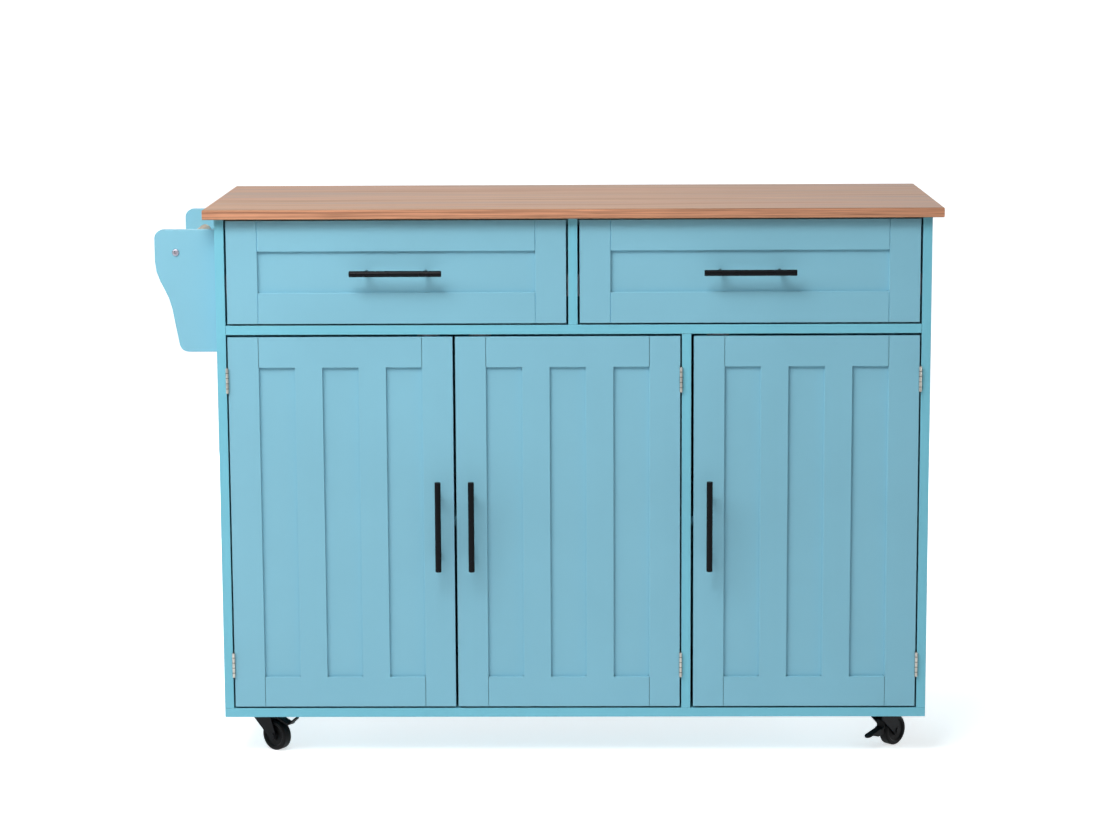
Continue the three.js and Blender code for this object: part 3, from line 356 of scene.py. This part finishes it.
def foil_surface():
    """White foiled board of the drawer boxes, with a faint printed grain."""
    s = Surface("drawer_foil", Specular_IOR_Level=0.4)
    grain = s.noise(1.0, stretch=(120, 5, 120), detail=4.0)
    tone = s.ramp(grain, (0.3, shade(WHITE_FOIL, 0.9)), (0.6, WHITE_FOIL))
    s.to("Base Color", tone)
    s.to("Roughness", s.remap(grain, 0.3, 0.7, 0.5, 0.42))
    s.bump(grain, 0.03 * MM)
    return s.material


# ---------------------------------------------------------------- metal and plastic


def coated_surface(name, colour, roughness, grain_scale, grain_depth):
    """A dark coat with a fine grain, rubbed a little lighter on its edges."""
    s = Surface(name, Specular_IOR_Level=0.11)
    wear = s.math("MULTIPLY", s.edges(0.5 * MM), s.remap(s.noise(60.0), 0.4, 0.7, 0.1, 0.6))
    blotch = s.noise(35.0, detail=3.0)
    tone = s.ramp(blotch, (0.3, shade(colour, 0.8)), (0.7, shade(colour, 1.25)))
    s.to("Base Color", s.mix(wear, tone, shade(colour, 2.6)))
    s.to("Roughness", s.remap(blotch, 0.3, 0.7, roughness - 0.05, roughness + 0.07))
    s.bump(s.noise(grain_scale, detail=2.0), grain_depth)
    return s.material


def plated_surface(name, colour, roughness):
    """Plated steel, drawn lightly along its length, with darker specks in the plating."""
    s = Surface(name, Metallic=1.0)
    drawn = s.noise(1.0, stretch=(900, 900, 60), detail=2.0)
    cloud = s.noise(90.0, detail=3.0)
    tone = s.ramp(cloud, (0.3, shade(colour, 0.72)), (0.65, colour))
    s.to("Base Color", tone)
    s.to("Roughness", s.remap(drawn, 0.3, 0.7, roughness - 0.06, roughness + 0.1))
    s.bump(drawn, 0.02 * MM)
    return s


def hinge_surface(name, colour, roughness, foot, pitch):
    """Plated steel with painted shade in dark lines where its knuckles, stacked one pitch apart
    above the foot, part.
    """
    s = plated_surface(name, colour, roughness)
    place = s.math("DIVIDE", s.math("SUBTRACT", s.axis(2), foot), pitch)
    off = s.math("ABSOLUTE", s.math("SUBTRACT", s.math("FRACT", place), 0.5))
    # Painted shade in the gaps between the knuckles.
    line = s.remap(off, 0.40, 0.46, 0.0, 0.85)
    s.to("Base Color", s.mix(line, s.colour(), shade(colour, 0.06)))
    return s.material


def hinge_span(level):
    """Where the hinges of one level stand, and how high each of their knuckles is."""
    low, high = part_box(f"hinge_left_{level}_frame_leaf")
    return low.z, (high.z - low.z) / HINGE_KNUCKLES


def drawer_front_surface(side):
    low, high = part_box(f"drawer_front_{side}")
    middle, reach = (low.z + high.z) / 2, (high.z - low.z) / 2 - RAIL
    # How much lighter each joint line is painted, as painted light against its groove's shade.
    joints = [(low.x + STILE, middle, reach, 1.3), (high.x - STILE, middle, reach, 1.16)]
    return paint_surface(f"drawer_front_paint_{side}", FRONT_PAINT, joints).material


def make_materials():
    return {
        "fronts": paint_surface("front_paint", FRONT_PAINT).material,
        "drawer_left": drawer_front_surface("left"),
        "drawer_right": drawer_front_surface("right"),
        "carcass": paint_surface("carcass_paint", CARCASS_PAINT).material,
        "worktop": worktop_surface(),
        "rail": rail_surface(),
        "foil": foil_surface(),
        "pull": coated_surface("pull_coat", BLACK_COAT, 0.25, 1500.0, 0.01 * MM),
        "caster": coated_surface("caster_coat", BLACK_COAT, 0.42, 900.0, 0.03 * MM),
        "nylon": coated_surface("caster_nylon", BLACK_NYLON, 0.5, 500.0, 0.05 * MM),
        "hinge_top": hinge_surface("hinge_top_nickel", NICKEL, 0.34, *hinge_span("top")),
        "hinge_bottom": hinge_surface("hinge_bottom_nickel", NICKEL, 0.34, *hinge_span("bottom")),
        "nickel": plated_surface("nickel_plate", NICKEL, 0.34).material,
        "zinc": plated_surface("zinc_plate", ZINC, 0.38).material,
    }


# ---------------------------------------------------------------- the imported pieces


def smoothing_group():
    """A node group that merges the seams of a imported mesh, and shades it smooth but for the
    edges that turn by more than a limit."""
    group = bpy.data.node_groups.new("smooth_by_angle", "GeometryNodeTree")
    group.interface.new_socket("Geometry", in_out="INPUT", socket_type="NodeSocketGeometry")
    group.interface.new_socket("Geometry", in_out="OUTPUT", socket_type="NodeSocketGeometry")
    nodes, links = group.nodes, group.links
    start = nodes.new("NodeGroupInput")
    end = nodes.new("NodeGroupOutput")
    bare = nodes.new("GeometryNodeRemoveAttribute")
    bare.inputs["Name"].default_value = "custom_normal"
    merge = nodes.new("GeometryNodeMergeByDistance")
    merge.inputs["Distance"].default_value = 0.01 * MM
    faces = nodes.new("GeometryNodeSetShadeSmooth")
    faces.domain = "FACE"
    angle = nodes.new("GeometryNodeInputMeshEdgeAngle")
    sharp = nodes.new("FunctionNodeCompare")
    sharp.data_type = "FLOAT"
    sharp.operation = "GREATER_THAN"
    sharp.inputs["B"].default_value = SHARP_TURN
    edges = nodes.new("GeometryNodeSetShadeSmooth")
    edges.domain = "EDGE"
    edges.inputs["Shade Smooth"].default_value = False
    links.new(start.outputs[0], bare.inputs["Geometry"])
    links.new(bare.outputs["Geometry"], merge.inputs["Geometry"])
    links.new(merge.outputs["Geometry"], faces.inputs["Geometry"])
    links.new(faces.outputs["Geometry"], edges.inputs["Geometry"])
    links.new(angle.outputs["Unsigned Angle"], sharp.inputs["A"])
    links.new(sharp.outputs["Result"], edges.inputs["Selection"])
    links.new(edges.outputs["Geometry"], end.inputs[0])
    return group


def dress(name, material, ease, smoothing):
    """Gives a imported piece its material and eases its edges, without touching its mesh."""
    piece = frame["nodes"][name]
    if not piece.material_slots:
        piece.data.materials.append(material)
    for slot in piece.material_slots:
        slot.material = material
    smooth = piece.modifiers.new("smooth", "NODES")
    smooth.node_group = smoothing
    if not ease:
        return
    flats = piece.modifiers.new("flats", "DECIMATE")
    flats.decimate_type = "DISSOLVE"
    flats.angle_limit = math.radians(1)
    bevel = piece.modifiers.new("ease", "BEVEL")
    bevel.width = ease
    bevel.segments = 2
    bevel.limit_method = "ANGLE"
    bevel.angle_limit = SHARP_TURN
    bevel.harden_normals = True


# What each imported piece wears, by how its name begins: material and easing of its edges. The first
# row that fits is taken.
LOOKS = [
    ("worktop", "worktop", WORKTOP_EASE),
    ("towel_rail", "rail", METAL_EASE),
    ("towel_bracket", "fronts", BOARD_EASE),
    ("door_pull", "pull", 0),
    ("drawer_pull", "pull", 0),
    ("door_divider", "divider", BOARD_EASE),
    ("drawer_divider", "carcass", BOARD_EASE),
    ("door_", "fronts", BOARD_EASE),
    ("drawer_front_left", "drawer_left", BOARD_EASE),
    ("drawer_front_right", "drawer_right", BOARD_EASE),
    ("drawer_", "foil", METAL_EASE),
    ("runner_", "zinc", 0),
    *((f"hinge_{door}_top", "hinge_top", 0) for door in DOORS),
    ("hinge_", "hinge_bottom", 0),
    ("caster_plate", "caster", 0),
    ("caster_fork", "caster", 0),
    ("caster_", "nylon", 0),
    ("side_panel_left", "side_left", BOARD_EASE),
    ("side_panel_right", "side_right", BOARD_EASE),
    ("deck_panel", "deck", BOARD_EASE),
    ("", "carcass", BOARD_EASE),
]


def dress_frame(materials, smoothing):
    for name in sorted(frame["nodes"]):
        key, ease = next((k, e) for start, k, e in LOOKS if name.startswith(start))
        dress(name, materials[key], ease, smoothing)


def fitted_materials():
    """Boards whose solids include fittings: shelf pins on the uprights, and the catches under the
    deck, with their steel pole pieces at the front."""
    deck_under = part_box("deck_panel")[1].z - BOARD
    case_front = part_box("door_left")[1].y + 2 * MM
    left_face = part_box("side_panel_left")[0].x + BOARD
    right_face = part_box("side_panel_right")[1].x - BOARD
    divider_low = (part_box("door_divider")[0].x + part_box("door_divider")[1].x - BOARD) / 2

    def above(axis, level):
        return lambda s: s.math("GREATER_THAN", s.axis(axis), level)

    def below(axis, level):
        return lambda s: s.math("LESS_THAN", s.axis(axis), level)

    def between(axis, low, high):
        return lambda s: s.math("MULTIPLY", above(axis, low)(s), below(axis, high)(s))

    def board(name, is_board, metal_part=None):
        return fitted_board_surface(name, CARCASS_PAINT, is_board, metal_part)

    return {
        "deck": board("deck_paint", above(2, deck_under - HAIR), below(1, case_front)),
        "side_left": board("side_left_paint", below(0, left_face + HAIR)),
        "side_right": board("side_right_paint", above(0, right_face - HAIR)),
        "divider": board(
            "divider_paint", between(0, divider_low - HAIR, divider_low + BOARD + HAIR)
        ),
    }


# ---------------------------------------------------------------- small pieces made here


def add_piece(name, mesh_data, material, body):
    mesh = bpy.data.meshes.new(name)
    mesh_data.to_mesh(mesh)
    mesh_data.free()
    mesh.materials.append(material)
    piece = bpy.data.objects.new(name, mesh)
    bpy.context.scene.collection.objects.link(piece)
    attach(piece, body)
    return piece


def cross_outline(arm, half):
    """The twelve corners of a cross with arms of one length and half width."""
    corners = []
    for turn in range(4):
        quarter = Matrix.Rotation(turn * math.pi / 2, 2)
        for x, y in ((half, half), (arm, half), (arm, -half)):
            corners.append(quarter @ Vector((x, y)))
    return sorted(corners, key=lambda corner: math.atan2(corner.y, corner.x))


def add_screw(made, place, out, head, turn=0.0, segments=20):
    """A domed screw head with a cross recess. It stands on place, out is the way it faces, head is
    its radius and height, and it is added to the mesh that is being made."""
    radius, height = head
    rings = ((1.0, 0.0), (1.0, 0.35), (0.93, 0.68), (0.8, 0.9), (0.66, 1.0))
    seat = Matrix.Translation(place) @ Vector(out).to_track_quat("Z", "Y").to_matrix().to_4x4()
    seat = seat @ Matrix.Rotation(turn, 4, "Z")

    def point(x, y, z):
        return made.verts.new(seat @ Vector((x, y, z)))

    loops = []
    for share, rise in rings:
        loop = []
        for i in range(segments):
            angle = 2 * math.pi * i / segments
            x, y = radius * share * math.cos(angle), radius * share * math.sin(angle)
            loop.append(point(x, y, height * rise))
        loops.append(loop)
    for low, high in zip(loops, loops[1:]):
        for i in range(segments):
            j = (i + 1) % segments
            made.faces.new((low[i], low[j], high[j], high[i])).smooth = True
    made.faces.new(list(reversed(loops[0])))
    outline = cross_outline(0.48 * radius, 0.1 * radius)
    rim = [point(x, y, height) for x, y in outline]
    pit = [point(x, y, 0.35 * height) for x, y in outline]
    edges = []
    for loop in (loops[-1], rim):
        for i, vertex in enumerate(loop):
            edge = made.edges.get((vertex, loop[(i + 1) % len(loop)]))
            edges.append(edge or made.edges.new((vertex, loop[(i + 1) % len(loop)])))
    bmesh.ops.triangle_fill(made, use_beauty=True, use_dissolve=False, edges=edges)
    for i in range(len(rim)):
        j = (i + 1) % len(rim)
        made.faces.new((rim[i], rim[j], pit[j], pit[i]))
    made.faces.new(pit)


def finish_mesh(made):
    bmesh.ops.recalc_face_normals(made, faces=made.faces)
    return made


def bracket_screws(materials):
    """The screws that hold the towel rail, one through each bracket."""
    rail_low, rail_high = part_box("towel_rail")
    x = (rail_low.x + rail_high.x) / 2
    z = (rail_low.z + rail_high.z) / 2
    made = bmesh.new()
    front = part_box("towel_bracket_front")[0].y
    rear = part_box("towel_bracket_rear")[1].y
    add_screw(made, (x, front, z), (0, -1, 0), RAIL_SCREW, turn=0.5)
    add_screw(made, (x, rear, z), (0, 1, 0), RAIL_SCREW, turn=1.1)
    add_piece("towel_rail_screws", finish_mesh(made), materials["zinc"], "cabinet")


def caster_screws(materials):
    """Four screws up through each caster's plate."""
    made = bmesh.new()
    for joint in frame["joints"]:
        if not joint["name"].startswith("swivel_"):
            continue
        x, y, _ = joint["pos_m"]
        plate = "caster_plate_" + joint["name"].removeprefix("swivel_")
        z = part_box(plate)[1].z - PLATE_THICKNESS
        for i, (across, along) in enumerate(((-1, -1), (1, -1), (1, 1), (-1, 1))):
            place = (x + across * PLATE_HOLE_REACH, y + along * PLATE_HOLE_REACH, z)
            add_screw(made, place, (0, 0, -1), PLATE_SCREW, turn=0.9 * i)
    add_piece("caster_plate_screws", finish_mesh(made), materials["zinc"], "cabinet")


def door_sides(door):
    """A door's hinge axis along x, its box, and whether it is hung on its left edge."""
    joint = next(j for j in frame["joints"] if j["name"] == f"door_{door}_hinge")
    hinge_x = joint["pos_m"][0]
    low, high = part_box(f"door_{door}")
    return hinge_x, low, high, hinge_x < (low.x + high.x) / 2


def hinge_screws(materials):
    """Two flat heads in each hinge leaf, which show when a door stands open."""
    frame_side = bmesh.new()
    for door in DOORS:
        door_side = bmesh.new()
        hinge_x, _, _, hung_left = door_sides(door)
        for level in ("top", "bottom"):
            for kind, made in (("frame_leaf", frame_side), ("door_leaf", door_side)):
                low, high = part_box(f"hinge_{door}_{level}_{kind}")
                out = 1 if hung_left == (kind == "frame_leaf") else -1
                face = hinge_x - out * LEAF_FACE
                y = high.y - LEAF / 2
                middle = (low.z + high.z) / 2
                for end in (-1, 1):
                    place = (face, y, middle + end * HINGE_SCREW_REACH)
                    add_screw(made, place, (out, 0, 0), HINGE_SCREW, turn=0.7 * end)
        add_piece(
            f"hinge_screws_door_{door}",
            finish_mesh(door_side),
            materials["nickel"],
            f"door_{door}",
        )
    add_piece(
        "hinge_screws_cabinet",
        finish_mesh(frame_side),
        materials["nickel"],
        "cabinet",
    )


def add_slab(made, low, high, ease):
    """Starts a mesh with a flat plate between two corners, its edges eased."""
    size = Vector(high) - Vector(low)
    middle = (Vector(high) + Vector(low)) / 2
    matrix = Matrix.Translation(middle) @ Matrix.Diagonal((*size, 1))
    bmesh.ops.create_cube(made, size=1, matrix=matrix)
    bmesh.ops.bevel(made, geom=list(made.edges), offset=ease, segments=2, affect="EDGES")


def strike_plates(materials):
    """The steel plates on the doors' backs that the magnetic catches hold."""
    for door in DOORS:
        _, low, high, hung_left = door_sides(door)
        x = high.x - CATCH_INSET if hung_left else low.x + CATCH_INSET
        back, front = high.y, high.y + STRIKE_THICKNESS
        bottom, top = (high.z - drop for drop in STRIKE_SPAN)
        made = bmesh.new()
        add_slab(
            made,
            (x - STRIKE_HALF_WIDTH, back, bottom),
            (x + STRIKE_HALF_WIDTH, front, top),
            STRIKE_EASE,
        )
        add_screw(made, (x, front, (bottom + top) / 2), (0, 1, 0), STRIKE_SCREW, turn=0.4)
        add_piece(
            f"strike_plate_{door}",
            finish_mesh(made),
            materials["zinc"],
            f"door_{door}",
        )


# ---------------------------------------------------------------- floor, light and world

STAGE_NEAR = 0.6  # how brightly the stage in front of the unit, and all beyond it, is seen
STAGE_TURN = (-0.3, 1.2)  # the stretch of y over which the stage grows from that to white

# Name, place, target, width, height and power. The first is a steep soft key from the front left,
# with a lower strip under it. The last three stand level with the boards and light the sides and
# the back, and leave the fronts and the top alone.
LAMPS = [
    ("key", (-1.0, -2.0, 3.0), (0, 0, 0.5), 2.1, 0.7, 58.0),
    ("key_low", (-1.05, -2.45, 2.5), (0, 0, 0.5), 1.6, 0.7, 17.0),
    ("front_left", (-2.3, -1.7, 2.0), (0, 0, 0.5), 1.0, 1.0, 17.0),
    ("top", (-0.3, -0.3, 2.6), (0, 0.1, 0.9), 1.6, 1.2, 16.0),
    ("fill", (2.6, -3.4, 1.6), (0.2, 0, 0.5), 2.0, 2.0, 2.5),
    ("left", (-2.6, 0.6, 0.45), (0, 0.1, 0.45), 1.4, 0.7, 16.0),
    ("right", (2.6, 0.6, 0.45), (0, 0.1, 0.45), 1.4, 0.7, 20.0),
    ("back", (-0.4, 2.8, 0.45), (0, 0.1, 0.45), 1.8, 0.7, 32.0),
]


def seen_directly(nodes, links):
    """1 for what the camera sees itself, in a reflection or through glass, otherwise 0."""
    path = nodes.new("ShaderNodeLightPath")
    seen = path.outputs["Is Camera Ray"]
    for kind in ("Is Glossy Ray", "Is Transmission Ray"):
        either = nodes.new("ShaderNodeMath")
        either.operation = "MAXIMUM"
        links.new(seen, either.inputs[0])
        links.new(path.outputs[kind], either.inputs[1])
        seen = either.outputs["Value"]
    return seen


def stage_surface():
    """A white stage that looks white to the camera and in what reflects it, less bright in front
    of the unit than behind it, and that keeps the unit's shadow."""
    s = Surface("stage_white", Base_Color=FLOOR_WHITE, Roughness=0.9, Specular_IOR_Level=0.1)
    s.to("Emission Color", (1, 1, 1, 1))
    depth = s.remap(s.axis(1), *STAGE_TURN, STAGE_NEAR, 1.0)
    s.to("Emission Strength", s.math("MULTIPLY", seen_directly(s.tree.nodes, s.tree.links), depth))
    return s.material


def make_stage():
    """A floor that curves up into a backdrop well behind the unit."""
    half, near, bend, radius, top = 12.0, -9.0, 5.0, 2.0, 9.0
    profile = [(near, 0.0), (bend, 0.0)]
    steps = 12
    for i in range(1, steps + 1):
        angle = math.pi / 2 * i / steps
        profile.append((bend + radius * math.sin(angle), radius * (1 - math.cos(angle))))
    profile.append((bend + radius, top))
    made = bmesh.new()
    rows = [[made.verts.new((side * half, y, z)) for y, z in profile] for side in (-1, 1)]
    for i in range(len(profile) - 1):
        made.faces.new((rows[0][i], rows[1][i], rows[1][i + 1], rows[0][i + 1])).smooth = True
    mesh = bpy.data.meshes.new("stage")
    made.to_mesh(mesh)
    made.free()
    mesh.materials.append(stage_surface())
    stage = bpy.data.objects.new("stage", mesh)
    bpy.context.scene.collection.objects.link(stage)


def make_softbox(name, place, target, width, height, power):
    data = bpy.data.lights.new(name, "AREA")
    data.shape = "RECTANGLE"
    data.size = width
    data.size_y = height
    data.energy = power
    lamp = bpy.data.objects.new(name, data)
    bpy.context.scene.collection.objects.link(lamp)
    lamp.visible_camera = False
    way = Vector(target) - Vector(place)
    turn = way.to_track_quat("-Z", "Y").to_matrix().to_4x4()
    lamp.matrix_world = Matrix.Translation(place) @ turn


def make_world():
    """A faint bluish surround for the light, which looks like the stage where it is seen."""
    world = bpy.data.worlds.new("surround")
    bpy.context.scene.world = world
    world.use_nodes = True
    nodes, links = world.node_tree.nodes, world.node_tree.links
    glow = nodes["Background"]
    glow.inputs["Color"].default_value = (0.93, 0.98, 1, 1)
    glow.inputs["Strength"].default_value = 0.085
    backdrop = nodes.new("ShaderNodeBackground")
    backdrop.inputs["Color"].default_value = (1, 1, 1, 1)
    backdrop.inputs["Strength"].default_value = STAGE_NEAR
    choice = nodes.new("ShaderNodeMixShader")
    links.new(seen_directly(nodes, links), choice.inputs["Fac"])
    links.new(glow.outputs["Background"], choice.inputs[1])
    links.new(backdrop.outputs["Background"], choice.inputs[2])
    links.new(choice.outputs["Shader"], nodes["World Output"].inputs["Surface"])


# ---------------------------------------------------------------- everything

make_camera()
materials = make_materials()
materials.update(fitted_materials())
dress_frame(materials, smoothing_group())
bracket_screws(materials)
caster_screws(materials)
hinge_screws(materials)
strike_plates(materials)
make_stage()
for lamp in LAMPS:
    make_softbox(*lamp)
make_world()
bpy.context.scene.view_settings.view_transform = "Standard"
